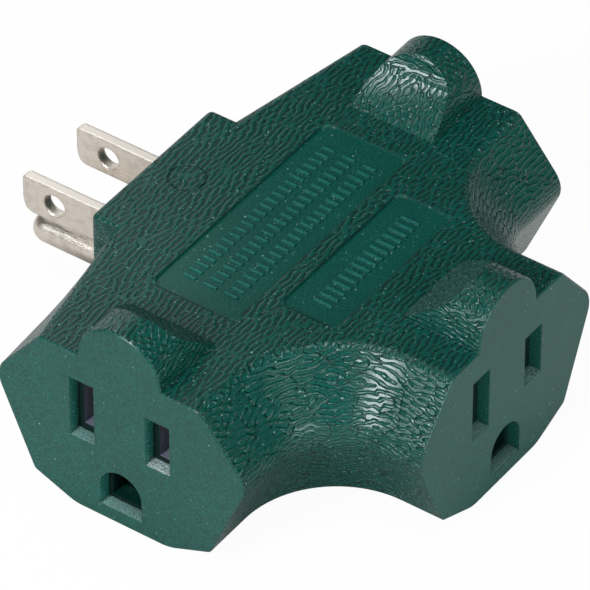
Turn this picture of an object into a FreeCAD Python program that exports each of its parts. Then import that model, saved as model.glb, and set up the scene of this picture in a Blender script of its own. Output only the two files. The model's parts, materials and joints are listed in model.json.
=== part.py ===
import FreeCAD, Part
import math
import os
from FreeCAD import Vector

# Three-outlet grounding plug adapter, in millimetres, +Z up.
# The origin is on the plug face, midway between the two blades. +Y points out of the plug,
# one outlet faces -X, one -Y (the front) and one +X. Their arms meet at the hub.

# Standard plug and outlet pattern
blade_pitch = 12.7
blade_thickness = 1.52
blade_height = 6.15
blade_length = 17.4
blade_hole_diameter = 3.6
blade_hole_from_face = 11.6
blade_top_tip_radius = 1.0
blade_bottom_tip_radius = 2.2
blade_tip_bevel = 0.35
blade_tip_bevel_length = 0.8
ground_drop = 11.9
ground_pin_diameter = 4.8
ground_pin_length = 20.4
ground_pin_nose_length = 2.6
ground_pin_neck_diameter = 4.4
ground_pin_neck_proud = 0.2
ground_pin_relief_diameter = 5.0
ground_pin_relief_depth = 0.6
ground_pin_nose_side_pull = 0.65
ground_pin_nose_tip_pull = 0.6

# Body
side_reach = 38.6
front_reach = 37.3
hub_to_plug_face = 22.8
outlet_line_drop = 0.9
base_to_outlet_line = 17.85
shoulder_height = 27.85
shoulder_half_width = 13.3
shoulder_radius = 1.6
waist_height = 18.0
waist_half_width = 21.3
waist_radius = 4.2
base_half_width = 7.9
base_edge_radius = 6.0
bevel_half_width = 14.9
bevel_rise = 2.85
bevel_radius = 1.2
corner_centre = 30.3
outlet_rim_bevel = 0.25

# Plug end of the body
plug_half_width = 14.2
plug_corner_radius = 1.0
plug_top_edge_radius = 0.9
plug_bottom_edge_radius = 1.5
rear_shoulder_flare = 4.9
rear_waist_flare = 0.9
rear_base_flare = 4.0

# Grip bump over each outlet
bump_radius = 7.0
bump_ridge_depth = 5.1
bump_crest_radius = 0.8
bump_knee_depth = 6.1
bump_knee_height = 4.6
bump_knee_radius = 6.0
bump_foot_depth = 12.7
bump_root_depth = 1.0

# Recessed fields on the top, measured from the hub
large_field_half_length = 20.95
large_field_front = -6.45
large_field_back = 7.6
large_field_radius = 1.8
small_field_half_length = 14.3
small_field_front = -18.55
small_field_back = -9.35
small_field_radius = 1.5
field_depth = 0.35

# Plain raised strokes that fill the fields
stroke_width = 0.55
stroke_height = 0.2
stroke_root_depth = 0.3
stroke_pitch = 1.5
stroke_side_margin = 3.6
large_row_length = 2.1
large_row_places = (-2.9, 0.6, 4.1)
small_row_length = 3.0

# Round mould mark on the plug end
mark_radius = 2.85
mark_line_width = 0.3
mark_depth = 0.15
mark_from_plug_face = 6.4

# Outlet openings in the jacket
face_wall = 2.0
plug_wall = 2.6
slot_width = 4.06
neutral_slot_height = 10.47
line_slot_height = 8.62
ground_opening_width = 6.95
ground_opening_floor = 3.5

# Rigid core inside the jacket
core_front_wall = 2.4
core_half_width = 9.6
core_plug_half_width = 10.6
core_top = 7.8
core_bottom = 16.1
inner_slot_width = 2.1
inner_neutral_height = 8.2
inner_line_height = 7.0
inner_ground_width = 5.6
cavity_gap = 0.1
channel_gap = 0.3

# Contacts, bus strips and rivets
sheet = 0.6
contact_half_height = 3.4
contact_start = 4.7
contact_pinch_depth = 7.0
contact_relax_depth = 12.0
contact_end = 18.6
contact_half_gap = 1.35
contact_half_pinch = 0.62
tongue_length = 5.8
ground_tongue_lap = 1.8
bus_height = 5.0
bus_thickness = 0.8
bus_width = 4.0
bus_setback = 0.2
ground_sleeve_start = 5.0
ground_sleeve_gap = 0.05
ground_sleeve_mouth_angle = 70.0
rivet_radius = 0.9
rivet_head_radius = 1.5
rivet_head_height = 0.6
rivet_from_contact_end = 3.8
blade_tab_thickness = 1.0
blade_root_length = 9.0
blade_tab_length = 7.0
blade_tab_lap = 2.0
plug_rivet_from_tab_end = 2.4
pin_tab_thickness = 1.5
plug_bus_clearance = 1.1

# Construction allowances
cut_margin = 1.0
face_cut_margin = 0.5
edge_match = 0.01

UP = Vector(0, 0, 1)
BACK = Vector(0, 1, 0)
half_pitch = blade_pitch / 2
plug_line = outlet_line_drop
base_level = -base_to_outlet_line
top_level = base_level + shoulder_height
ground_level = -ground_drop
pin_level = ground_level + plug_line
contact_half_width = contact_half_gap + sheet
contact_back = contact_end + sheet
tongue_end = contact_back + tongue_length
rivet_depth = contact_end + rivet_from_contact_end
sleeve_radius = ground_pin_diameter / 2 + ground_sleeve_gap
sleeve_outer_radius = sleeve_radius + sheet
ground_bus_level = ground_level + sleeve_outer_radius
core_front = face_wall + core_front_wall
plug_root = hub_to_plug_face - blade_root_length
plug_tab_end = plug_root - blade_tab_length
plug_tab_start = plug_root + blade_tab_lap
plug_rivet = plug_tab_end + plug_rivet_from_tab_end
plug_bus_end = plug_root - plug_bus_clearance

# Outlets by side: turn about the hub, and distance of the outlet face from the hub
OUTLETS = {"left": (-90, side_reach), "front": (0, front_reach), "right": (90, side_reach)}


def box(x0, x1, y0, y1, z0, z1):
    """A box between two corners, given as low and high values on each axis."""
    return Part.makeBox(x1 - x0, y1 - y0, z1 - z0, Vector(x0, y0, z0))


def fuse(shapes):
    """One solid from several, with the faces that run on merged."""
    shapes = list(shapes)
    return shapes[0].multiFuse(shapes[1:]).removeSplitter()


def rounded_path(points, radii):
    """Edges through points, with each inner corner rounded to its radius."""
    edges = []
    start = points[0]
    for corner, after, radius in zip(points[1:], points[2:], radii):
        incoming = (corner - start).normalize()
        outgoing = (after - corner).normalize()
        turn = incoming.getAngle(outgoing)
        reach = radius * math.tan(turn / 2)
        begin = corner - incoming * reach
        end = corner + outgoing * reach
        inward = (outgoing - incoming).normalize()
        centre = corner + inward * (radius / math.cos(turn / 2))
        middle = centre - inward * radius
        edges.append(Part.LineSegment(start, begin).toShape())
        edges.append(Part.Arc(begin, middle, end).toShape())
        start = end
    edges.append(Part.LineSegment(start, points[-1]).toShape())
    return edges


def half_profile(shoulder_flare=0.0, waist_flare=0.0, base_flare=0.0):
    """Edges of one side of an arm's section, from the base up to the top, as (half width, 0, height)."""
    outline = [
        (0, base_level),
        (base_half_width + base_flare, base_level),
        (bevel_half_width + (base_flare + waist_flare) / 2, base_level + bevel_rise),
        (waist_half_width + waist_flare, base_level + waist_height),
        (shoulder_half_width + shoulder_flare, top_level),
        (0, top_level),
    ]
    radii = [base_edge_radius, bevel_radius, waist_radius, shoulder_radius]
    return rounded_path([Vector(u, 0, z) for u, z in outline], radii)


def closed_face(edges):
    """A face from edges in order, closed by a straight line back to the start."""
    first = edges[0].Vertexes[0].Point
    last = edges[-1].Vertexes[-1].Point
    return Part.Face(Part.Wire(edges + [Part.LineSegment(last, first).toShape()]))


def arm(reach):
    """Straight arm with the whole section, from the hub to its outlet face at -Y."""
    half = closed_face(half_profile())
    right = half.extrude(Vector(0, -reach, 0))
    return right.fuse(right.mirror(Vector(0, 0, 0), Vector(1, 0, 0)))


def inner_corner():
    """Concave corner between the front arm and the right arm: the section swept about one axis."""
    side = half_profile()[1:-1]
    foot = side[0].Vertexes[0].Point
    head = side[-1].Vertexes[-1].Point
    low = Vector(corner_centre, 0, foot.z)
    high = Vector(corner_centre, 0, head.z)
    outline = side + [
        Part.LineSegment(head, high).toShape(),
        Part.LineSegment(high, low).toShape(),
        Part.LineSegment(low, foot).toShape(),
    ]
    hollow = Part.Face(Part.Wire(outline))
    hollow.translate(Vector(0, -corner_centre, 0))
    hollow = hollow.revolve(Vector(corner_centre, -corner_centre, 0), UP, -90)
    block = box(0, corner_centre, -corner_centre, 0, base_level, top_level)
    return block.cut(hollow)


def rear_section(edges, distance):
    """Closed face of a half profile, set across the right arm on its plug side."""
    section = closed_face(edges)
    section.rotate(Vector(0, 0, 0), UP, 90)
    section.translate(Vector(distance, 0, 0))
    return section


def flared_profile():
    """The arm's half section where it meets the plug end."""
    return half_profile(rear_shoulder_flare, rear_waist_flare, rear_base_flare)


def rear_side():
    """Rear half of the right arm, which widens from the outlet face to the plug end."""
    outer = rear_section(half_profile(), side_reach).OuterWire
    inner = rear_section(flared_profile(), plug_half_width).OuterWire
    return Part.makeLoft([outer, inner], True, True)


def rear_middle():
    """Rear half between the two arms, under and beside the plug end."""
    return rear_section(flared_profile(), -plug_half_width).extrude(Vector(2 * plug_half_width, 0, 0))


def plug_end():
    """Block that carries the blades, with rounded edges."""
    block = box(-plug_half_width, plug_half_width, 0, hub_to_plug_face, base_level, top_level)
    upright = []
    for edge in block.Edges:
        middle = edge.CenterOfMass
        if abs(middle.y - hub_to_plug_face) < edge_match and abs(middle.x) > plug_half_width / 2:
            upright.append(edge)
    block = block.makeFillet(plug_corner_radius, upright)
    for level, radius in ((top_level, plug_top_edge_radius), (base_level, plug_bottom_edge_radius)):
        rim = []
        for edge in block.Edges:
            box_of_edge = edge.BoundBox
            flat = box_of_edge.ZLength < edge_match and abs(box_of_edge.ZMin - level) < edge_match
            if flat and box_of_edge.YMax > edge_match:
                rim.append(edge)
        block = block.makeFillet(radius, rim)
    return block


def bump(reach):
    """Half-round grip bump over the front outlet, with a hollow slope as its inner end."""
    barrel = Part.makeCylinder(bump_radius, bump_foot_depth, Vector(0, -reach, top_level), BACK)
    low = top_level - bump_root_depth
    high = top_level + bump_radius
    face = Vector(-bump_radius, -reach, high)
    ridge_end = Vector(-bump_radius, -reach + bump_ridge_depth, high)
    knee = Vector(-bump_radius, -reach + bump_knee_depth, top_level + bump_knee_height)
    foot = Vector(-bump_radius, -reach + bump_foot_depth, top_level)
    outline = rounded_path([face, ridge_end, knee, foot], [bump_crest_radius, bump_knee_radius])
    corners = [foot, Vector(foot.x, foot.y, low), Vector(face.x, face.y, low), face]
    for start, end in zip(corners, corners[1:]):
        outline.append(Part.LineSegment(start, end).toShape())
    envelope = Part.Face(Part.Wire(outline)).extrude(Vector(2 * bump_radius, 0, 0))
    return barrel.common(envelope)


def turned(shape, angle):
    """Copy of a shape made for the front outlet, turned about the hub."""
    copy = shape.copy()
    copy.rotate(Vector(0, 0, 0), UP, angle)
    return copy


def rounded_plate(half_length, front, back, radius, z0, z1):
    """Flat plate with rounded corners, centred across X."""
    plate = box(-half_length, half_length, front, back, z0, z1)
    upright = [edge for edge in plate.Edges if edge.BoundBox.ZLength > (z1 - z0) / 2]
    return plate.makeFillet(radius, upright)


def stroke_row(field_half_length, length, place):
    """One row of plain raised strokes standing on a recessed field."""
    floor = top_level - field_depth
    each_side = int((field_half_length - stroke_side_margin) / stroke_pitch)
    row = []
    for index in range(-each_side, each_side + 1):
        x = index * stroke_pitch
        y0 = place - length / 2
        row.append(box(x - stroke_width / 2, x + stroke_width / 2, y0, y0 + length,
                       floor - stroke_root_depth, floor + stroke_height))
    return row


def round_topped(width, centre_level, floor_level, depth0, depth1):
    """Prism with a half-round top and a flat floor, running along Y."""
    radius = width / 2
    round_part = Part.makeCylinder(radius, depth1 - depth0, Vector(0, depth0, centre_level), BACK)
    square_part = box(-radius, radius, depth0, depth1, floor_level, centre_level)
    upper_half = box(-radius, radius, depth0, depth1, centre_level, centre_level + radius)
    return round_part.common(upper_half).fuse(square_part)


def outlet_openings():
    """The jacket's three openings for one outlet, from the face plane (y = 0) through the face wall."""
    openings = []
    start = -cut_margin
    end = face_wall + face_cut_margin
    for u, height in ((-half_pitch, neutral_slot_height), (half_pitch, line_slot_height)):
        openings.append(box(u - slot_width / 2, u + slot_width / 2, start, end, -height / 2, height / 2))
    floor = ground_level - ground_opening_floor
    openings.append(round_topped(ground_opening_width, ground_level, floor, start, end))
    return openings


def outlet_outline():
    """Closed outline of an outlet face: the arm's section with the bump on top of it."""
    right = half_profile()[:-1]
    shoulder = right[-1].Vertexes[-1].Point
    foot = Vector(bump_radius, 0, top_level)
    crest = Vector(0, 0, top_level + bump_radius)
    diagonal = bump_radius * math.sqrt(0.5)
    right.append(Part.LineSegment(shoulder, foot).toShape())
    right.append(Part.Arc(foot, Vector(diagonal, 0, top_level + diagonal), crest).toShape())
    left = [edge.mirror(Vector(0, 0, 0), Vector(1, 0, 0)) for edge in right]
    return Part.Wire(Part.__sortEdges__(right + left))


def rim_cutter():
    """Ring that bevels the rim of an outlet face, from the face plane (y = 0) inward."""
    depth = 2 * outlet_rim_bevel
    outline = outlet_outline()
    inner = outline.makeOffset2D(-outlet_rim_bevel, 2)
    outer = outline.makeOffset2D(outlet_rim_bevel, 2)
    outer.translate(Vector(0, depth, 0))
    kept = Part.makeLoft([inner, outer], True, True)
    half = waist_half_width + cut_margin
    slab = box(-half, half, 0, depth, base_level - cut_margin, top_level + bump_radius + cut_margin)
    return slab.cut(kept)


def core_envelope():
    """Outer form of the rigid core that the jacket is moulded around."""
    side = side_reach - face_wall
    front = front_reach - face_wall
    back = hub_to_plug_face - plug_wall
    parts = [
        box(-side, side, -core_half_width, core_half_width, -core_bottom, core_top),
        box(-core_half_width, core_half_width, -front, 0, -core_bottom, core_top),
        box(-core_plug_half_width, core_plug_half_width, 0, back, -core_bottom, core_top),
    ]
    return fuse(parts)


def in_outlet(shape, name):
    """Move a shape from the outlet's own frame (y = depth behind its face) to the hub frame."""
    angle, reach = OUTLETS[name]
    moved = shape.copy()
    moved.translate(Vector(0, -reach, 0))
    return turned(moved, angle)


def bus_strips(side):
    """Plan of a bus as (x0, x1, y0, y1) strips: side is +1 for line, -1 for neutral, 0 for ground."""
    half = bus_width / 2
    side_end = side_reach - contact_back - bus_setback
    front_end = front_reach - contact_back - bus_setback
    x = side * half_pitch
    spine = (x - half, x + half, -front_end, plug_bus_end)
    left = (-side_end, x + half, -x - half, -x + half)
    right = (x - half, side_end, x - half, x + half)
    return [spine, left, right]


def bus_solid(side, z0, z1, gap=0.0):
    """Bus strips between two levels, with a gap all round when it is used as a channel."""
    return fuse([box(x0 - gap, x1 + gap, y0 - gap, y1 + gap, z0, z1) for x0, x1, y0, y1 in bus_strips(side)])


def side_of(kind):
    """+1 for line, -1 for neutral and 0 for ground, which is also the contact's side of its outlet."""
    return {"line": 1, "neutral": -1, "ground": 0}[kind]


def core_cavities():
    """All the spaces cut out of the core: contact cells, slots, bus channels and blade seats."""
    reach_up = bus_height + bus_thickness + rivet_head_height + cavity_gap
    cuts = []
    cell_half = contact_half_width + cavity_gap
    channel_half = bus_width / 2 + channel_gap
    before = face_wall - cut_margin
    behind = core_front + cut_margin
    for name in OUTLETS:
        for u, height in ((-half_pitch, inner_neutral_height), (half_pitch, inner_line_height)):
            direction = 1 if u > 0 else -1
            cell = box(u - cell_half, u + cell_half, core_front, contact_back + channel_gap,
                       -height / 2, height / 2)
            slot_half = inner_slot_width / 2
            slot = box(u - slot_half, u + slot_half, before, behind, -height / 2, height / 2)
            low, high = sorted((0, direction * reach_up))
            tongue = box(u - channel_half, u + channel_half,
                         contact_end - channel_gap, tongue_end + channel_gap, low, high)
            cuts += [in_outlet(shape, name) for shape in (cell, slot, tongue)]
        sleeve_half = sleeve_outer_radius + cavity_gap
        floor = ground_level - sleeve_outer_radius - cavity_gap
        trench = box(-sleeve_half, sleeve_half, core_front, tongue_end + channel_gap, floor, 0)
        hole_floor = ground_level - ground_opening_floor + (ground_opening_width - inner_ground_width) / 2
        hole = round_topped(inner_ground_width, ground_level, hole_floor, before, behind)
        cuts += [in_outlet(shape, name) for shape in (trench, hole)]
    ground_reach = ground_bus_level - pin_tab_thickness - rivet_head_height - cavity_gap
    cuts.append(bus_solid(side_of("line"), 0, reach_up, channel_gap))
    cuts.append(bus_solid(side_of("neutral"), -reach_up, 0, channel_gap))
    cuts.append(bus_solid(side_of("ground"), ground_reach, 0, channel_gap))
    back = hub_to_plug_face - plug_wall + cut_margin
    seat_half = blade_thickness / 2 + cavity_gap / 2
    tab_half = bus_width / 2 + channel_gap
    for side in (-1, 1):
        x = side * half_pitch
        low = min(plug_line - blade_height / 2, side * bus_height) - cavity_gap / 2
        high = max(plug_line + blade_height / 2, side * bus_height) + cavity_gap / 2
        cuts.append(box(x - seat_half, x + seat_half, plug_root - cavity_gap, back, low, high))
        low, high = sorted((0, side * reach_up))
        cuts.append(box(x - tab_half, x + tab_half, plug_tab_end - channel_gap, plug_tab_start + channel_gap,
                        low, high))
    pin_half = ground_pin_neck_diameter / 2 + cavity_gap / 2
    cuts.append(box(-pin_half, pin_half, plug_root - cavity_gap, back, pin_level, 0))
    cuts.append(Part.makeCylinder(pin_half, back - plug_root + cavity_gap,
                                  Vector(0, plug_root - cavity_gap, pin_level), BACK))
    cuts.append(box(-tab_half, tab_half, plug_tab_end - channel_gap, plug_tab_start + channel_gap,
                    ground_reach, 0))
    return cuts


def make_core(lower):
    """Lower or upper half of the core, split at the outlets' slot line."""
    side = side_reach
    back = hub_to_plug_face
    if lower:
        half_space = box(-side, side, -front_reach, back, -core_bottom, 0)
    else:
        half_space = box(-side, side, -front_reach, back, 0, core_top)
    return core_envelope().common(half_space).cut(core_cavities()).removeSplitter()


def blade_section_cut(x):
    """Hole through the plug wall that a blade fills."""
    half = blade_thickness / 2
    start = hub_to_plug_face - plug_wall - cut_margin
    end = hub_to_plug_face + cut_margin
    return box(x - half, x + half, start, end, plug_line - blade_height / 2, plug_line + blade_height / 2)


def make_jacket():
    """The outer moulding: three arms, plug end, bumps, recessed fields and openings."""
    side_arm = arm(side_reach)
    front_half = box(-side_reach, side_reach, -waist_half_width - cut_margin, 0, base_level, top_level)
    corner = inner_corner()
    rear = rear_side()
    mirror_x = (Vector(0, 0, 0), Vector(1, 0, 0))
    solids = [
        turned(side_arm, -90).common(front_half),
        turned(side_arm, 90).common(front_half),
        arm(front_reach),
        corner,
        corner.mirror(*mirror_x),
        rear,
        rear.mirror(*mirror_x),
        rear_middle(),
        plug_end(),
    ]
    for angle, reach in OUTLETS.values():
        solids.append(turned(bump(reach), angle))
    jacket = fuse(solids)
    floor = top_level - field_depth
    lid = top_level + cut_margin
    large_field = rounded_plate(large_field_half_length, large_field_front, large_field_back,
                                large_field_radius, floor, lid)
    small_field = rounded_plate(small_field_half_length, small_field_front, small_field_back,
                                small_field_radius, floor, lid)
    mark_place = Vector(0, hub_to_plug_face - mark_from_plug_face, top_level - mark_depth)
    mark = Part.makeCylinder(mark_radius, cut_margin, mark_place).cut(
        Part.makeCylinder(mark_radius - mark_line_width, cut_margin, mark_place))
    cuts = [large_field, small_field, mark, core_envelope()]
    for name in OUTLETS:
        cuts += [in_outlet(cutter, name) for cutter in outlet_openings() + [rim_cutter()]]
    cuts += [blade_section_cut(-half_pitch), blade_section_cut(half_pitch)]
    pin_hole_start = Vector(0, hub_to_plug_face - plug_wall - cut_margin, pin_level)
    pin_hole_length = plug_wall + 2 * cut_margin
    cuts.append(Part.makeCylinder(ground_pin_neck_diameter / 2, pin_hole_length, pin_hole_start, BACK))
    relief_start = Vector(0, hub_to_plug_face - ground_pin_relief_depth, pin_level)
    relief_length = ground_pin_relief_depth + cut_margin
    cuts.append(Part.makeCylinder(ground_pin_relief_diameter / 2, relief_length, relief_start, BACK))
    jacket = jacket.cut(cuts)
    strokes = []
    for place in large_row_places:
        strokes += stroke_row(large_field_half_length, large_row_length, place)
    small_field_middle = (small_field_front + small_field_back) / 2
    strokes += stroke_row(small_field_half_length, small_row_length, small_field_middle)
    return jacket.multiFuse(strokes).removeSplitter()


def make_blade(side):
    """Flat blade with its tip, lock hole, and the inner tab that is riveted to its bus."""
    x = side * half_pitch
    half = blade_thickness / 2
    tip = hub_to_plug_face + blade_length
    low = plug_line - blade_height / 2
    high = plug_line + blade_height / 2
    blade = box(x - half, x + half, plug_root, tip, low, high)
    corners = ((high, blade_top_tip_radius), (low, blade_bottom_tip_radius))
    for level, radius in corners:
        corner = Vector(x, tip, level)
        found = [edge for edge in blade.Edges if edge.CenterOfMass.distanceToPoint(corner) < edge_match]
        blade = blade.makeFillet(radius, found)
    bevel_start = tip - blade_tip_bevel_length
    tip_half = half - blade_tip_bevel
    plan = [(-half, plug_root), (half, plug_root), (half, bevel_start),
            (tip_half, tip), (-tip_half, tip), (-half, bevel_start)]
    outline = [Vector(x + across, along, low) for across, along in plan + plan[:1]]
    blade = blade.common(Part.Face(Part.makePolygon(outline)).extrude(UP * blade_height))
    hole_y = hub_to_plug_face + blade_hole_from_face
    hole = Part.makeCylinder(blade_hole_diameter / 2, 2 * blade_thickness,
                             Vector(x - blade_thickness, hole_y, plug_line), Vector(1, 0, 0))
    outer = side * bus_height
    inner = side * (bus_height - blade_tab_thickness)
    web = box(x - half, x + half, plug_root, plug_tab_start, min(0, outer), max(0, outer))
    tab_half = bus_width / 2
    tab = box(x - tab_half, x + tab_half, plug_tab_end, plug_tab_start,
              min(inner, outer), max(inner, outer))
    tab = tab.cut(rivet_shank(x, plug_rivet))
    return fuse([blade.cut(hole), web, tab])


def make_ground_pin():
    """Round pin with a domed nose and a neck, and a flat tail that is riveted to the ground bus."""
    radius = ground_pin_diameter / 2
    tip = hub_to_plug_face + ground_pin_length
    shoulder = tip - ground_pin_nose_length
    neck_end = hub_to_plug_face + ground_pin_neck_proud
    neck_start = Vector(0, plug_root, pin_level)
    neck = Part.makeCylinder(ground_pin_neck_diameter / 2, neck_end - plug_root, neck_start, BACK)
    shank = Part.makeCylinder(radius, shoulder - neck_end, Vector(0, neck_end, pin_level), BACK)
    nose_end = Vector(0, tip, pin_level)
    nose_start = Vector(radius, shoulder, pin_level)
    nose_curve = Part.BezierCurve()
    nose_curve.setPoles([
        nose_start,
        nose_start + Vector(0, ground_pin_nose_length * ground_pin_nose_side_pull, 0),
        nose_end + Vector(radius * ground_pin_nose_tip_pull, 0, 0),
        nose_end,
    ])
    root_point = Vector(0, shoulder, pin_level)
    outline = Part.Wire([
        nose_curve.toShape(),
        Part.LineSegment(nose_end, root_point).toShape(),
        Part.LineSegment(root_point, nose_start).toShape(),
    ])
    nose = Part.Face(outline).revolve(root_point, BACK, 360)
    tab_half = bus_width / 2
    tail = box(-tab_half, tab_half, plug_tab_end, plug_tab_start, ground_bus_level - pin_tab_thickness,
               ground_bus_level)
    tail = tail.cut(rivet_shank(0, plug_rivet))
    return fuse([neck, shank, nose, tail])


def make_blade_contact(name, side):
    """Folded spring contact: two leaves that grip a blade, a back web and a riveted tongue."""
    u = side * half_pitch
    leaf_line = [
        (contact_half_gap, contact_start),
        (contact_half_pinch, contact_pinch_depth),
        (contact_half_gap, contact_relax_depth),
        (contact_half_gap, contact_back),
    ]
    parts = []
    for mirror in (-1, 1):
        inner = [Vector(u + mirror * gap, depth, -contact_half_height) for gap, depth in leaf_line]
        outer = [point + Vector(mirror * sheet, 0, 0) for point in reversed(inner)]
        outline = Part.makePolygon(inner + outer + inner[:1])
        parts.append(Part.Face(outline).extrude(UP * (2 * contact_half_height)))
    left = u - contact_half_width
    right = u + contact_half_width
    low, high = sorted((-side * contact_half_height, side * bus_height))
    parts.append(box(left, right, contact_end, contact_back, low, high))
    low, high = sorted((side * (bus_height - sheet), side * bus_height))
    tongue = box(left, right, contact_end, tongue_end, low, high)
    parts.append(tongue.cut(rivet_shank(u, rivet_depth)))
    return in_outlet(fuse(parts), name)


def make_ground_contact(name):
    """Split sleeve that grips the ground pin, with a riveted tongue."""
    length = contact_back - ground_sleeve_start
    axis_point = Vector(0, ground_sleeve_start, ground_level)
    sleeve = Part.makeCylinder(sleeve_outer_radius, length, axis_point, BACK)
    bore = Part.makeCylinder(sleeve_radius, length, axis_point, BACK)
    mouth_half = sleeve_radius * math.sin(math.radians(ground_sleeve_mouth_angle / 2))
    mouth = box(-mouth_half, mouth_half, ground_sleeve_start, contact_back,
                ground_level - sleeve_outer_radius, ground_level)
    half = bus_width / 2
    tongue_start = contact_back - ground_tongue_lap
    tongue = box(-half, half, tongue_start, tongue_end, ground_bus_level - sheet, ground_bus_level)
    tongue = tongue.cut(rivet_shank(0, rivet_depth))
    return in_outlet(fuse([sleeve, tongue]).cut([bore, mouth]), name)


def rivet_shank(x, y):
    """Shank of a rivet that stands upright, longer than any stack that it goes through."""
    return Part.makeCylinder(rivet_radius, 2 * core_bottom, Vector(x, y, -core_bottom))


def rivet(x, y, low, high):
    """Rivet that clamps the stack between two levels."""
    shank = Part.makeCylinder(rivet_radius, high - low, Vector(x, y, low))
    head_bottom = Vector(x, y, low - rivet_head_height)
    lower_head = Part.makeCylinder(rivet_head_radius, rivet_head_height, head_bottom)
    upper_head = Part.makeCylinder(rivet_head_radius, rivet_head_height, Vector(x, y, high))
    return fuse([lower_head, shank, upper_head])


def stack(kind, tab_thickness):
    """Lowest and highest level of a tab and the bus strip on it."""
    if kind == "line":
        return bus_height - tab_thickness, bus_height + bus_thickness
    if kind == "neutral":
        return -bus_height - bus_thickness, -bus_height + tab_thickness
    return ground_bus_level - tab_thickness, ground_bus_level + bus_thickness


def make_bus(kind):
    """Stamped bus strip that joins three contacts and one plug tab."""
    z0, z1 = stack(kind, 0)
    side = side_of(kind)
    holes = [in_outlet(rivet_shank(side * half_pitch, rivet_depth), name) for name in OUTLETS]
    holes.append(rivet_shank(side * half_pitch, plug_rivet))
    return bus_solid(side, z0, z1).cut(holes)


def make_contact_rivets():
    """Nine rivets, one through each contact's tongue."""
    rivets = []
    for kind in ("line", "neutral", "ground"):
        low, high = stack(kind, sheet)
        for name in OUTLETS:
            rivets.append(in_outlet(rivet(side_of(kind) * half_pitch, rivet_depth, low, high), name))
    return Part.makeCompound(rivets)


def make_plug_rivets():
    """Three rivets, one through each blade tab and the pin's tail."""
    rivets = []
    for kind, thickness in (("line", blade_tab_thickness), ("neutral", blade_tab_thickness),
                            ("ground", pin_tab_thickness)):
        low, high = stack(kind, thickness)
        rivets.append(rivet(side_of(kind) * half_pitch, plug_rivet, low, high))
    return Part.makeCompound(rivets)


def build_nodes():
    """Every piece by name, in the hub frame."""
    nodes = {
        "jacket": make_jacket(),
        "core_base": make_core(lower=True),
        "core_cover": make_core(lower=False),
        "line_blade": make_blade(1),
        "neutral_blade": make_blade(-1),
        "ground_pin": make_ground_pin(),
        "contact_rivets": make_contact_rivets(),
        "plug_rivets": make_plug_rivets(),
    }
    for kind in ("line", "neutral", "ground"):
        nodes[kind + "_bus"] = make_bus(kind)
    for name in OUTLETS:
        nodes["line_contact_" + name] = make_blade_contact(name, 1)
        nodes["neutral_contact_" + name] = make_blade_contact(name, -1)
        nodes["ground_contact_" + name] = make_ground_contact(name)
    return nodes


os.makedirs("parts", exist_ok=True)
to_origin = Vector(0, -hub_to_plug_face, -plug_line)
for node, shape in build_nodes().items():
    shape = shape.copy()
    shape.translate(to_origin)
    shape.exportStep("parts/" + node + ".step")
    print(node, "solids", len(shape.Solids), "valid", shape.isValid(), "volume", round(shape.Volume, 1))
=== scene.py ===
import json
import math
import random

import bpy
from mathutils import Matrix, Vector

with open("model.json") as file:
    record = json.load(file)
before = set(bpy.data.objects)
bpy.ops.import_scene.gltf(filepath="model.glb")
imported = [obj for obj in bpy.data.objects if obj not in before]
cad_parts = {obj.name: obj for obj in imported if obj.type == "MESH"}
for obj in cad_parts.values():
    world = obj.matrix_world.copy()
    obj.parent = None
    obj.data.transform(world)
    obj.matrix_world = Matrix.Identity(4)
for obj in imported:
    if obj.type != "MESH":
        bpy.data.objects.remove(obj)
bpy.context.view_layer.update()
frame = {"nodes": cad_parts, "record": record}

MM = 0.001

# Places on the body, in millimetres
hub_y = -22.8
outlet_line_z = -0.9
outlet_face_reach = 38.6
front_face_y = -60.1
base_z = -18.75
opening_half_width = 9.5
opening_low = -17.0
opening_high = 7.0
opening_reach = 30.0
ground_opening_top = -6.0
top_level = 9.1
stroke_top = 8.95
field_high = 20.0
large_field = ((-20.95, -29.25, 0.0), (20.95, -15.2, field_high))
small_field = ((-14.3, -41.35, 0.0), (14.3, -32.15, field_high))
pin_reach = 4.0

# Camera, as found from the straight edges in the photograph, in degrees and metres
camera_azimuth = -54.75
camera_elevation = 41.13
camera_distance = 971.87 * MM
camera_aim = Vector((0, hub_y, outlet_line_z)) * MM
camera_slide_right = 1.51 * MM
camera_slide_up = -2.55 * MM
sensor_width = 36.0
lens = 427.1

# A ramp below is (from low, from high, to low, to high); with two numbers it goes from 0 to 1

# Grain of the moulding: waves of one length, in millimetres, in flat coordinates. A pull stretches
# those coordinates, and a tilt is the upright part of the surface's normal.
grain_period = 1.1
grain_spread = 0.1
grain_sector = math.radians(50)
grain_waves = 5
grain_seed = 4
grain_warp_size = 3.0
grain_warp_detail = 2.0
grain_warp = 0.4
grain_ripple_size = 1.3
grain_ripple_detail = 0.0
grain_ripple = 0.3
flank_slope = 1.65
flank_lean = 0.3
flank_pull = 0.7
top_pull = (0.55, 1.42)
top_tilt = 0.66
slope_pull = (1.3, 1.2)
slope_tilt = 0.97

# Relief of the grain: raised pads on the flanks and flat lands with grooves on top; painted shade
# darkens the pads' outlines and the grooves
grain_depth = 0.2
grain_fade = 0.12
grain_level = 0.05
grain_wall = 0.4
grain_crown = 0.35
outline_core = 0.3
line_shade_share = 0.8
top_grain_level = -0.35
top_grain_wall = 0.16
top_grain_crown = 0.08
top_grain_share = 1.1
face_skin = 0.12
rim_radius = 0.28
rim_samples = 4

# Hollow on the slope of the +x bump, in millimetres and as parts of the normal along x
dome_start = 26.5
dome_rise = 0.034
dome_twist = 0.03
dome_lean = (-0.85, -0.45)
dome_gentle_lean = -0.68

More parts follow.
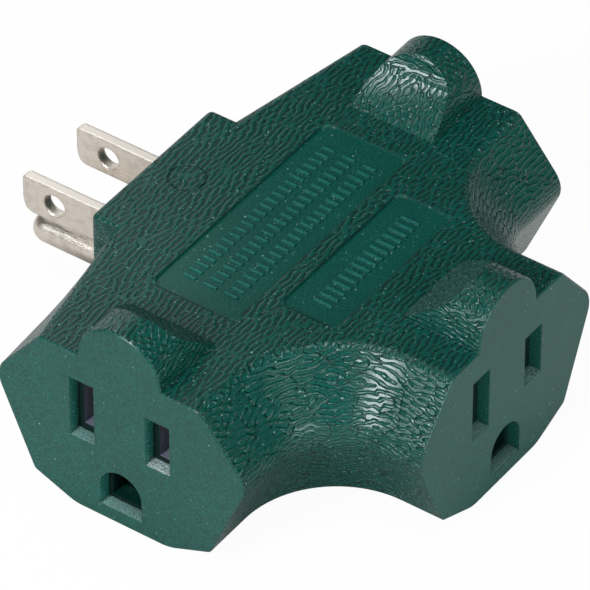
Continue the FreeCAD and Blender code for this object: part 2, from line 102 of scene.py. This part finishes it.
# Jacket finish
green = (0.0022, 0.062, 0.0485)
# Painted shade: darker green for the grain's outlines and grooves
green_groove_shade = (0.0008, 0.022, 0.017)
# Painted highlight: lighter green for the tops of the raised strokes
green_stroke_highlight = (0.006, 0.105, 0.085)
# Painted fill light: lighter green for the walls inside the openings
green_recess_fill_light = (0.02, 0.13, 0.106)
# Painted glints: bright specks scattered over the green
green_glint = (0.26, 0.42, 0.39)
# Painted highlight: pale greys for the upward ledges inside the openings, paler in the side outlets'
# slots
ledge_slot_highlight = (0.35, 0.44, 0.44)
ledge_ground_highlight = (0.15, 0.28, 0.26)
green_specular = 0.42
face_band = (0.08, 0.02)
stroke_highlight_ramp = (stroke_top - 0.1, stroke_top - 0.04)
field_ramp = (-0.3, -0.2, 1.0, 0.0)
recess_start = -0.01
ledge_highlight_ramp = (0.6, 0.9)
ground_opening_ramp = (ground_opening_top - 0.1, ground_opening_top + 0.1)
grit_scale = 7.0
grit_detail = 2.0
grit_ramp = (0.38, 0.62, 0.35, 1.6)
speck_scale = 2.9
speck_detail = 1.0
speck_on_faces = -0.015
speck_ramp = (0.735, 0.775)
cloud_scale = 0.09
cloud_detail = 2.0
cloud_ramp = (0.3, 0.7, 0.94, 1.05)
fine_scale = 3.2
fine_detail = 3.0
fine_ramp = (0.3, 0.7, -1.0, 1.0)
speckle = 0.15
speckle_on_faces = 0.17
green_roughness = 0.26
face_roughness = 0.22
fine_roughness = 0.2
fine_depth = 0.05
fine_depth_ramp = (0.0, 1.0, 0.3, 1.0)

# Core finish
core_front = (0.003, 0.014, 0.012)
# Painted fill light: slate, far lighter than the front, for the slot walls, against the shade inside
core_slate_fill_light = (0.17, 0.175, 0.23)
core_green = (0.002, 0.028, 0.022)
core_specular = 0.15
core_scale = 6.0
core_detail = 3.0
core_front_ramp = (0.5, 0.9)
core_shade_ramp = (0.35, 0.7, 0.85, 1.2)
core_roughness_ramp = (0.3, 0.7, 0.36, 0.5)
core_depth = 0.02

# Metal finishes
nickel = (0.82, 0.74, 0.655)
nickel_dull = (0.70, 0.62, 0.54)
# Painted highlight: brighter nickel for the faces that look up or down
nickel_edge_highlight = (1.0, 0.94, 0.865)
nickel_roughness = 0.31
brass = (0.70, 0.52, 0.25)
brass_dull = (0.50, 0.35, 0.16)
# Painted highlight: brighter brass for the faces that look up or down
brass_edge_highlight = (0.80, 0.62, 0.34)
contact_roughness = 0.34
rivet_roughness = 0.4
blade_lines = (1.0, 0.06, 1.0)
contact_lines = (0.3, 0.3, 1.0)
rivet_lines = (1.0, 1.0, 1.0)
line_scale = 9.0
line_detail = 3.0
line_levels = (0.3, 0.7)
line_roughness = (-0.06, 0.08)
line_depth = 0.006
dull_scale = 0.7
dull_detail = 3.0
dull_ramp = (0.42, 0.72)
sheared_highlight_ramp = (0.6, 0.95)
edge_roughness = 0.22
edge_radius = 0.5
edge_samples = 4

# Studio: floor and room levels, where 1 is plain white, and lamp tints
floor_gap = 0.03
floor_half = 3000.0
floor_colour = (0.82, 0.82, 0.82, 1)
floor_white_share = 0.96
# Painted shadow: the floor is dimmer in mirrors near the object
floor_mirror_shadow_ramp = (30.0, 48.0, 0.1, 0.74)
horizon_ramp = (0.0, 0.12, 1.0, 0.16)
ceiling_ramp = (0.2, 0.6, 0.16, 0.03)
white = (1, 1, 1)
key_tint = (0.92, 0.97, 1.0)
front_tint = (0.86, 1.0, 0.98)


class Tree:
    """Short ways to add nodes to one material's or world's node tree."""

    def __init__(self, owner):
        owner.use_nodes = True
        self.tree = owner.node_tree
        self.tree.nodes.clear()

    def add(self, kind, **settings):
        node = self.tree.nodes.new(kind)
        for name, value in settings.items():
            setattr(node, name, value)
        return node

    def put(self, socket, value):
        """Link a socket to another one's output, or set its value."""
        if isinstance(value, bpy.types.NodeSocket):
            self.tree.links.new(value, socket)
        else:
            socket.default_value = value

    def math(self, operation, a, b=0.0, c=0.0):
        node = self.add("ShaderNodeMath", operation=operation)
        for socket, value in zip(node.inputs, (a, b, c)):
            self.put(socket, value)
        return node.outputs[0]

    def pick(self, share, a, b):
        """Number a where the share is zero, b where it is one."""
        return self.math("MULTIPLY_ADD", self.math("SUBTRACT", b, a), share, a)

    def vector(self, operation, a, b=(0, 0, 0)):
        node = self.add("ShaderNodeVectorMath", operation=operation)
        self.put(node.inputs[0], a)
        self.put(node.inputs[1], b)
        return node.outputs["Value" if operation in ("DOT_PRODUCT", "LENGTH") else "Vector"]

    def scaled(self, vector, amount):
        node = self.add("ShaderNodeVectorMath", operation="SCALE")
        self.put(node.inputs[0], vector)
        self.put(node.inputs["Scale"], amount)
        return node.outputs["Vector"]

    def split(self, vector):
        node = self.add("ShaderNodeSeparateXYZ")
        self.put(node.inputs[0], vector)
        return node.outputs

    def join(self, x, y, z):
        node = self.add("ShaderNodeCombineXYZ")
        for socket, value in zip(node.inputs, (x, y, z)):
            self.put(socket, value)
        return node.outputs[0]

    def ramp(self, value, low, high, to_low=0.0, to_high=1.0):
        """Smooth step from one number to another."""
        node = self.add("ShaderNodeMapRange", interpolation_type="SMOOTHSTEP")
        for socket, number in zip(node.inputs, (value, low, high, to_low, to_high)):
            self.put(socket, number)
        return node.outputs[0]

    def blend(self, share, a, b):
        """Colour a where the share is zero, b where it is one."""
        node = self.add("ShaderNodeMix", data_type="RGBA")
        self.put(node.inputs["Factor"], share)
        self.put(node.inputs["A"], (*a, 1) if isinstance(a, tuple) else a)
        self.put(node.inputs["B"], (*b, 1) if isinstance(b, tuple) else b)
        return node.outputs["Result"]

    def noise(self, place, scale, detail, colour=False):
        node = self.add("ShaderNodeTexNoise")
        self.put(node.inputs["Vector"], place)
        node.inputs["Scale"].default_value = scale
        node.inputs["Detail"].default_value = detail
        return node.outputs["Color" if colour else "Fac"]

    def drift(self, place, size, detail, reach):
        """Vector that wanders from zero by up to a reach."""
        colours = self.noise(place, 1 / size, detail, colour=True)
        centred = self.vector("SUBTRACT", colours, (0.5, 0.5, 0.5))
        return self.vector("MULTIPLY", centred, (2 * reach,) * 3)

    def place_mm(self):
        """Position in the object's own frame, in millimetres."""
        place = self.add("ShaderNodeTexCoord").outputs["Object"]
        return self.vector("MULTIPLY", place, (1 / MM, 1 / MM, 1 / MM))

    def lean(self):
        """Parts of the surface's normal along x, y and z."""
        return self.split(self.add("ShaderNodeNewGeometry").outputs["Normal"])

    def rounded(self, radius_mm, samples):
        """Normal with the edges rounded."""
        node = self.add("ShaderNodeBevel", samples=samples)
        node.inputs["Radius"].default_value = radius_mm * MM
        return node.outputs[0]

    def bump(self, height, depth_mm, normal=None):
        node = self.add("ShaderNodeBump")
        node.inputs["Strength"].default_value = 1.0
        node.inputs["Distance"].default_value = depth_mm * MM
        self.put(node.inputs["Height"], height)
        if normal is not None:
            self.put(node.inputs["Normal"], normal)
        return node.outputs[0]

    def surface(self, colour, roughness, normal, metallic=0.0):
        shader = self.add("ShaderNodeBsdfPrincipled")
        self.put(shader.inputs["Base Color"], colour)
        self.put(shader.inputs["Roughness"], roughness)
        self.put(shader.inputs["Normal"], normal)
        shader.inputs["Metallic"].default_value = metallic
        output = self.add("ShaderNodeOutputMaterial")
        self.put(output.inputs["Surface"], shader.outputs[0])
        return shader


def outside_box(tree, place, low, high):
    """Distance in millimetres by which a place lies outside a box; negative inside."""
    centre = [(a + b) / 2 for a, b in zip(low, high)]
    half = [(b - a) / 2 for a, b in zip(low, high)]
    offset = tree.vector("ABSOLUTE", tree.vector("SUBTRACT", place, centre))
    x, y, z = tree.split(tree.vector("SUBTRACT", offset, half))
    return tree.math("MAXIMUM", tree.math("MAXIMUM", x, y), z)


def nearest(tree, distances):
    least = distances[0]
    for distance in distances[1:]:
        least = tree.math("MINIMUM", least, distance)
    return least


def smooth_distances(tree, place):
    """Distances from the parts with no grain: from all of them, from openings and from fields."""
    x, y, z = tree.split(place)
    side = tree.math("ABSOLUTE", x)
    mirrored = tree.join(side, y, z)
    opening_back = front_face_y + outlet_face_reach - opening_reach
    plain = nearest(tree, [
        tree.math("SUBTRACT", outlet_face_reach - face_skin, side),
        tree.math("SUBTRACT", y, front_face_y + face_skin),
        tree.math("SUBTRACT", -face_skin, y),
        tree.math("SUBTRACT", z, base_z + face_skin),
    ])
    opening = nearest(tree, [
        outside_box(tree, mirrored, (opening_reach, hub_y - opening_half_width, opening_low),
                    (outlet_face_reach, hub_y + opening_half_width, opening_high)),
        outside_box(tree, place, (-opening_half_width, front_face_y, opening_low),
                    (opening_half_width, opening_back, opening_high)),
    ])
    field = nearest(tree, [
        outside_box(tree, place, *large_field),
        outside_box(tree, place, *small_field),
    ])
    return nearest(tree, [plain, opening, field]), opening, field


def face_share(tree, place):
    """One on the three outlet faces, zero elsewhere."""
    x, y = tree.split(place)[:2]
    behind, before = face_band
    side = tree.ramp(tree.math("ABSOLUTE", x), outlet_face_reach - behind, outlet_face_reach - before)
    front = tree.ramp(tree.math("MULTIPLY", y, -1.0), -front_face_y - behind, -front_face_y - before)
    return tree.math("MAXIMUM", side, front)


def grain_plan(tree, place):
    """Flat coordinates for the grain, and one on the level top.

    They run across the top and the bumps' slopes, and round and up the flanks. The flanks' normal
    tells how far a place moves sideways as it rises, so that the pattern isn't sheared there.
    """
    x, y, z = tree.split(place)
    lean_x, lean_y, tilt = tree.lean()
    facing = tree.math("MULTIPLY_ADD", lean_x, tree.math("SIGN", x), lean_y)
    steep = tree.math("SUBTRACT", 1.0, tree.math("MULTIPLY", tilt, tilt))
    steep = tree.math("MAXIMUM", steep, flank_lean)
    shear = tree.math("DIVIDE", tree.math("MULTIPLY", tilt, facing), steep)
    shear = tree.math("MULTIPLY", shear, tree.math("LESS_THAN", z, top_level))
    around = tree.math("ADD", tree.math("ABSOLUTE", x), y)
    around = tree.math("MULTIPLY", tree.math("MULTIPLY_ADD", z, shear, around), flank_pull)
    flank = tree.join(around, tree.math("MULTIPLY", z, flank_slope), 0.0)
    level = tree.math("ABSOLUTE", tilt)
    sloped = tree.math("LESS_THAN", level, slope_tilt)
    pull = tree.blend(sloped, (*top_pull, 0.0), (*slope_pull, 0.0))
    top = tree.vector("MULTIPLY", place, pull)
    plan = tree.add("ShaderNodeMix", data_type="VECTOR")
    tree.put(plan.inputs["Factor"], tree.math("GREATER_THAN", level, top_tilt))
    tree.put(plan.inputs["A"], flank)
    tree.put(plan.inputs["B"], top)
    warp = tree.drift(place, grain_warp_size, grain_warp_detail, grain_warp)
    ripple = tree.drift(place, grain_ripple_size, grain_ripple_detail, grain_ripple)
    bent = tree.vector("ADD", plan.outputs["Result"], tree.vector("ADD", warp, ripple))
    return bent, tree.math("GREATER_THAN", level, slope_tilt)


def labyrinth(tree, place):
    """Sum of plane waves of one length, and one on the level top.

    The zero lines of the sum wind at one spacing. Each vector node carries three waves at once.
    """
    source = random.Random(grain_seed)
    plan, flat = grain_plan(tree, place)
    u, v = tree.split(plan)[:2]
    waves = 3 * grain_waves
    total = None
    for group in range(grain_waves):
        spots = [(3 * group + step + source.random()) / waves for step in range(3)]
        turns = [grain_sector * (2 * spot - 1) for spot in spots]
        stretches = [source.uniform(1 - grain_spread, 1 + grain_spread) for turn in turns]
        pulls = [2 * math.pi / grain_period * stretch for stretch in stretches]
        across = [pull * math.sin(turn) for pull, turn in zip(pulls, turns)]
        along = [pull * math.cos(turn) for pull, turn in zip(pulls, turns)]
        starts = [source.uniform(0, 2 * math.pi) for turn in turns]
        phase = tree.vector("ADD", tree.vector("MULTIPLY", u, across), starts)
        phase = tree.vector("ADD", tree.vector("MULTIPLY", v, along), phase)
        wave = tree.vector("SINE", phase)
        total = wave if total is None else tree.vector("ADD", total, wave)
    scale = 1 / math.sqrt(waves / 2)
    return tree.vector("DOT_PRODUCT", total, (scale, scale, scale)), flat


def slope_dome(tree, place):
    """Hollow that steepens the upper half of the +x bump's slope, as a share of the grain's depth."""
    x, y, z = tree.split(place)
    lean = tree.lean()[0]
    lowest, highest = dome_lean
    on_slope = tree.math("MULTIPLY", tree.math("LESS_THAN", lean, highest),
                         tree.math("GREATER_THAN", lean, lowest))
    on_bump = tree.math("MULTIPLY", tree.math("GREATER_THAN", x, dome_start),
                        tree.math("GREATER_THAN", z, top_level))
    gentle = tree.math("GREATER_THAN", lean, dome_gentle_lean)
    reach = tree.math("MAXIMUM", tree.math("SUBTRACT", x, dome_start), 0.0)
    rise = tree.math("MULTIPLY", tree.math("MULTIPLY", reach, reach), dome_rise / grain_depth)
    aside = tree.math("SUBTRACT", y, hub_y)
    lift = tree.math("MULTIPLY", tree.math("MULTIPLY", reach, aside), dome_twist / grain_depth)
    mask = tree.math("MULTIPLY", on_slope, on_bump)
    return tree.math("MULTIPLY", tree.math("MULTIPLY_ADD", rise, gentle, lift), mask)


def jacket_grain(tree, place, plain):
    """Height of the grain, as a share of its depth, and the share of painted shade that darkens its
    lines.
    """
    shown = tree.ramp(plain, 0.0, grain_fade)
    worms, flat = labyrinth(tree, place)
    worms = tree.math("SUBTRACT", worms, tree.ramp(flat, 0.0, 1.0, grain_level, top_grain_level))
    from_wall = tree.math("ABSOLUTE", worms)
    pad = tree.ramp(worms, -grain_wall, grain_wall)
    land = tree.ramp(worms, -2 * top_grain_wall, top_grain_wall, 0.0, top_grain_share)
    crown = tree.math("MAXIMUM", worms, 0.0)
    crown = tree.math("MULTIPLY", crown, tree.ramp(flat, 0.0, 1.0, grain_crown, top_grain_crown))
    height = tree.math("MULTIPLY", tree.math("ADD", crown, tree.pick(flat, pad, land)), shown)
    # Painted shade: the outlines and grooves are darkened in the colour, as shade in the hollows
    outline_shade = tree.ramp(from_wall, grain_wall * outline_core, grain_wall, 1.0, 0.0)
    groove_shade = tree.ramp(worms, -2 * top_grain_wall, 0.0, 1.0, 0.0)
    line_shade = tree.math("MULTIPLY", tree.pick(flat, outline_shade, groove_shade), shown)
    return tree.math("ADD", height, slope_dome(tree, place)), line_shade


def jacket_colour(tree, place, face, recess, field, line_shade):
    """Green with painted shade in the grain's lines, painted highlights on the raised strokes, painted
    fill light on the openings' walls, pale painted highlights on their ledges broken by grit, and
    bright specks painted as glints.
    """
    x, _, z = tree.split(place)
    # Painted shade: the grain's lines darken the green
    body = tree.blend(tree.math("MULTIPLY", line_shade, line_shade_share), green, green_groove_shade)
    # Painted highlight: the tops of the raised strokes in the fields are lighter green, as light
    # catching them
    stroke_highlight = tree.math("MULTIPLY", tree.ramp(z, *stroke_highlight_ramp), tree.ramp(field, *field_ramp))
    body = tree.blend(stroke_highlight, body, green_stroke_highlight)
    # Painted fill light: the walls inside the openings are lighter green, against the shade in there
    body = tree.blend(recess, body, green_recess_fill_light)
    # Painted highlight: upward ledges inside the openings are pale grey, paler in the side outlets'
    # slots than in the front outlet and the ground openings, broken up by grit
    ledge_highlight = tree.math("MULTIPLY", recess, tree.ramp(tree.lean()[2], *ledge_highlight_ramp))
    aside = tree.math("GREATER_THAN", tree.math("ABSOLUTE", x), opening_half_width)
    pale = tree.math("MULTIPLY", tree.ramp(z, *ground_opening_ramp), aside)
    grit = tree.ramp(tree.noise(place, grit_scale, grit_detail), *grit_ramp)
    body = tree.blend(ledge_highlight, body, tree.scaled(tree.blend(pale, ledge_ground_highlight, ledge_slot_highlight), grit))
    # Painted glints: tiny bright specks, fewer on the outlet faces
    specks = tree.noise(place, speck_scale, speck_detail)
    specks = tree.math("MULTIPLY_ADD", face, speck_on_faces, specks)
    return tree.blend(tree.ramp(specks, *speck_ramp), body, green_glint)


def jacket_material():
    material = bpy.data.materials.new("jacket_green")
    tree = Tree(material)
    place = tree.place_mm()
    plain, opening, field = smooth_distances(tree, place)
    face = face_share(tree, place)
    off_face = tree.math("SUBTRACT", 1.0, face)
    recess = tree.math("MULTIPLY", tree.math("LESS_THAN", opening, recess_start), off_face)
    height, line_shade = jacket_grain(tree, place, plain)
    body = jacket_colour(tree, place, face, recess, field, line_shade)
    clouds = tree.ramp(tree.noise(place, cloud_scale, cloud_detail), *cloud_ramp)
    fine = tree.noise(place, fine_scale, fine_detail)
    amount = tree.math("MULTIPLY_ADD", face, speckle_on_faces, speckle)
    amount = tree.math("MULTIPLY", amount, tree.math("SUBTRACT", 1.0, recess))
    mottle = tree.math("MULTIPLY_ADD", tree.ramp(fine, *fine_ramp), amount, 1.0)
    colour = tree.scaled(body, tree.math("MULTIPLY", clouds, mottle))
    roughness = tree.math("MULTIPLY_ADD", face, face_roughness, green_roughness)
    unevenness = tree.math("SUBTRACT", fine, 0.5)
    roughness = tree.math("MULTIPLY_ADD", unevenness, fine_roughness, roughness)
    fine_height = tree.math("MULTIPLY", fine, tree.ramp(face, *fine_depth_ramp))
    normal = tree.bump(fine_height, fine_depth, normal=tree.rounded(rim_radius, rim_samples))
    normal = tree.bump(height, grain_depth, normal=normal)
    shader = tree.surface(colour, roughness, normal)
    shader.inputs["Specular IOR Level"].default_value = green_specular
    return material


def core_material():
    """Near-black front, slate walls in the slots as painted fill light against the shade in there, and
    dark green walls in the ground openings.
    """
    material = bpy.data.materials.new("core_black")
    tree = Tree(material)
    place = tree.place_mm()
    fine = tree.noise(place, core_scale, core_detail)
    x, _, z = tree.split(place)
    lean_x, lean_y = tree.lean()[:2]
    at_side = tree.math("GREATER_THAN", tree.math("ABSOLUTE", x), opening_half_width)
    outward = tree.math("ABSOLUTE", tree.pick(at_side, lean_y, lean_x))
    low = tree.ramp(z, *ground_opening_ramp, 1.0, 0.0)
    # Painted fill light: the slot walls are slate, lighter than the near-black front
    inner = tree.blend(low, core_slate_fill_light, core_green)
    colour = tree.blend(tree.ramp(outward, *core_front_ramp), inner, core_front)
    colour = tree.scaled(colour, tree.ramp(fine, *core_shade_ramp))
    roughness = tree.ramp(fine, *core_roughness_ramp)
    shader = tree.surface(colour, roughness, tree.bump(fine, core_depth))
    shader.inputs["Specular IOR Level"].default_value = core_specular
    return material


def metal_material(name, bright, dull, edge_highlight, roughness, lines_along):
    """Sheet metal with fine draw lines along one direction, duller clouds, and rough edges with a
    painted highlight that makes them brighter.
    """
    material = bpy.data.materials.new(name)
    tree = Tree(material)
    place = tree.place_mm()
    lines = tree.noise(tree.vector("MULTIPLY", place, lines_along), line_scale, line_detail)
    clouds = tree.noise(place, dull_scale, dull_detail)
    colour = tree.blend(tree.ramp(clouds, *dull_ramp), bright, dull)
    smoothest, roughest = (roughness + change for change in line_roughness)
    rough = tree.ramp(lines, *line_levels, smoothest, roughest)
    level = tree.math("ABSOLUTE", tree.lean()[2])
    beside_pin = tree.math("GREATER_THAN", tree.math("ABSOLUTE", tree.split(place)[0]), pin_reach)
    # Painted highlight: beside the pin, faces that look up or down are brighter; they are also rougher,
    # as cut edges
    sheared_and_highlit = tree.math("MULTIPLY", tree.ramp(level, *sheared_highlight_ramp), beside_pin)
    colour = tree.blend(sheared_and_highlit, colour, edge_highlight)
    rough = tree.math("MULTIPLY_ADD", sheared_and_highlit, edge_roughness, rough)
    normal = tree.bump(lines, line_depth, normal=tree.rounded(edge_radius, edge_samples))
    tree.surface(colour, rough, normal, metallic=1.0)
    return material


def dress():
    """Put the detailed materials on the CAD nodes, by the record's material slots."""
    made = {
        "jacket": jacket_material(),
        "core": core_material(),
        "plated_blade": metal_material("nickel_plate", nickel, nickel_dull, nickel_edge_highlight,
                                       nickel_roughness, blade_lines),
        "contact_metal": metal_material("spring_brass", brass, brass_dull, brass_edge_highlight,
                                        contact_roughness, contact_lines),
        "rivet": metal_material("rivet_brass", brass, brass_dull, brass_edge_highlight,
                                rivet_roughness, rivet_lines),
    }
    slots = {part["node"]: part["material_slot"] for part in frame["record"]["subparts"]}
    for name, node in frame["nodes"].items():
        for slot in node.material_slots:
            slot.material = made[slots[name]]


def direction(azimuth, elevation):
    """Unit vector towards a place seen at an azimuth and elevation, in degrees."""
    a, e = math.radians(azimuth), math.radians(elevation)
    return Vector((math.sin(a) * math.cos(e), -math.cos(a) * math.cos(e), math.sin(e)))


def add_camera():
    back = direction(camera_azimuth, camera_elevation)
    turn = math.radians(camera_azimuth)
    right = Vector((math.cos(turn), math.sin(turn), 0))
    up = back.cross(right)
    data = bpy.data.cameras.new("camera")
    data.sensor_width = sensor_width
    data.lens = lens
    camera = bpy.data.objects.new("camera", data)
    slide = right * camera_slide_right + up * camera_slide_up
    camera.location = camera_aim + back * camera_distance + slide
    camera.rotation_mode = "QUATERNION"
    camera.rotation_quaternion = (-back).to_track_quat("-Z", "Y")
    bpy.context.collection.objects.link(camera)
    bpy.context.scene.camera = camera


def add_softbox(name, azimuth, elevation, distance, size, radiance, slide=0.0, tint=white):
    """Soft rectangular lamp that faces the object, slid sideways. Radiance 1 is plain white."""
    width, height = size
    data = bpy.data.lights.new(name, "AREA")
    data.shape = "RECTANGLE"
    data.size = width
    data.size_y = height
    data.energy = radiance * math.pi * width * height
    data.color = tint
    lamp = bpy.data.objects.new(name, data)
    away = direction(azimuth, elevation)
    level_right = Vector((away.y, -away.x, 0)).normalized()
    lamp.location = camera_aim + away * distance + level_right * slide
    lamp.rotation_mode = "QUATERNION"
    lamp.rotation_quaternion = away.to_track_quat("Z", "Y")
    lamp.visible_camera = False
    bpy.context.collection.objects.link(lamp)


def backdrop(tree):
    """Plain white in the floor: its share and its level, white for the camera, dimmer in mirrors, and
    darker in mirrors near the object as a painted shadow.
    """
    path = tree.add("ShaderNodeLightPath").outputs
    seen = path["Is Camera Ray"]
    mirrored = tree.math("MAXIMUM", path["Is Glossy Ray"], path["Is Transmission Ray"])
    share = tree.math("MAXIMUM", tree.math("MULTIPLY", seen, floor_white_share), mirrored)
    away = tree.vector("SUBTRACT", tree.place_mm(), (0, hub_y, base_z))
    # Painted shadow: in mirrors the floor darkens near the object
    shade = tree.ramp(tree.vector("LENGTH", away), *floor_mirror_shadow_ramp)
    return share, tree.math("MAXIMUM", seen, shade)


def add_floor():
    """Pale floor just under the base; it keeps the object's shadow."""
    half = floor_half * MM
    z = (base_z - floor_gap) * MM
    mesh = bpy.data.meshes.new("floor")
    corners = [(-half, -half, z), (half, -half, z), (half, half, z), (-half, half, z)]
    mesh.from_pydata(corners, [], [(0, 1, 2, 3)])
    floor = bpy.data.objects.new("floor", mesh)
    bpy.context.collection.objects.link(floor)
    material = bpy.data.materials.new("pale_floor")
    tree = Tree(material)
    diffuse = tree.add("ShaderNodeBsdfDiffuse")
    diffuse.inputs["Color"].default_value = floor_colour
    glow = tree.add("ShaderNodeEmission")
    mix = tree.add("ShaderNodeMixShader")
    share, level = backdrop(tree)
    tree.put(glow.inputs["Strength"], level)
    tree.put(mix.inputs[0], share)
    tree.put(mix.inputs[1], diffuse.outputs[0])
    tree.put(mix.inputs[2], glow.outputs[0])
    output = tree.add("ShaderNodeOutputMaterial")
    tree.put(output.inputs["Surface"], mix.outputs[0])
    mesh.materials.append(material)


def add_world():
    """Pale backdrop at the horizon and a dim room above it; white wherever the camera sees it."""
    world = bpy.data.worlds.new("studio")
    bpy.context.scene.world = world
    tree = Tree(world)
    rise = tree.split(tree.add("ShaderNodeTexCoord").outputs["Generated"])[2]
    level = tree.math("MINIMUM", tree.ramp(rise, *horizon_ramp), tree.ramp(rise, *ceiling_ramp))
    camera_ray = tree.add("ShaderNodeLightPath").outputs["Is Camera Ray"]
    background = tree.add("ShaderNodeBackground")
    tree.put(background.inputs["Strength"], tree.math("MAXIMUM", level, camera_ray))
    background.inputs["Color"].default_value = (*white, 1)
    output = tree.add("ShaderNodeOutputWorld")
    tree.put(output.inputs["Surface"], background.outputs[0])


def add_studio():
    add_camera()
    add_floor()
    add_world()
    add_softbox("key", azimuth=-97, elevation=30, distance=0.7, size=(0.22, 0.30), radiance=23.0,
                tint=key_tint)
    add_softbox("front", azimuth=-12, elevation=9, distance=0.9, size=(0.6, 0.5), radiance=6.0,
                tint=front_tint)
    add_softbox("overhead", azimuth=-60, elevation=84, distance=0.9, size=(0.5, 0.5), radiance=4.6)
    add_softbox("card", azimuth=128, elevation=41, distance=0.16, size=(0.12, 0.16), radiance=0.95,
                slide=-0.07)
    bpy.context.scene.view_settings.view_transform = "Standard"


dress()
add_studio()
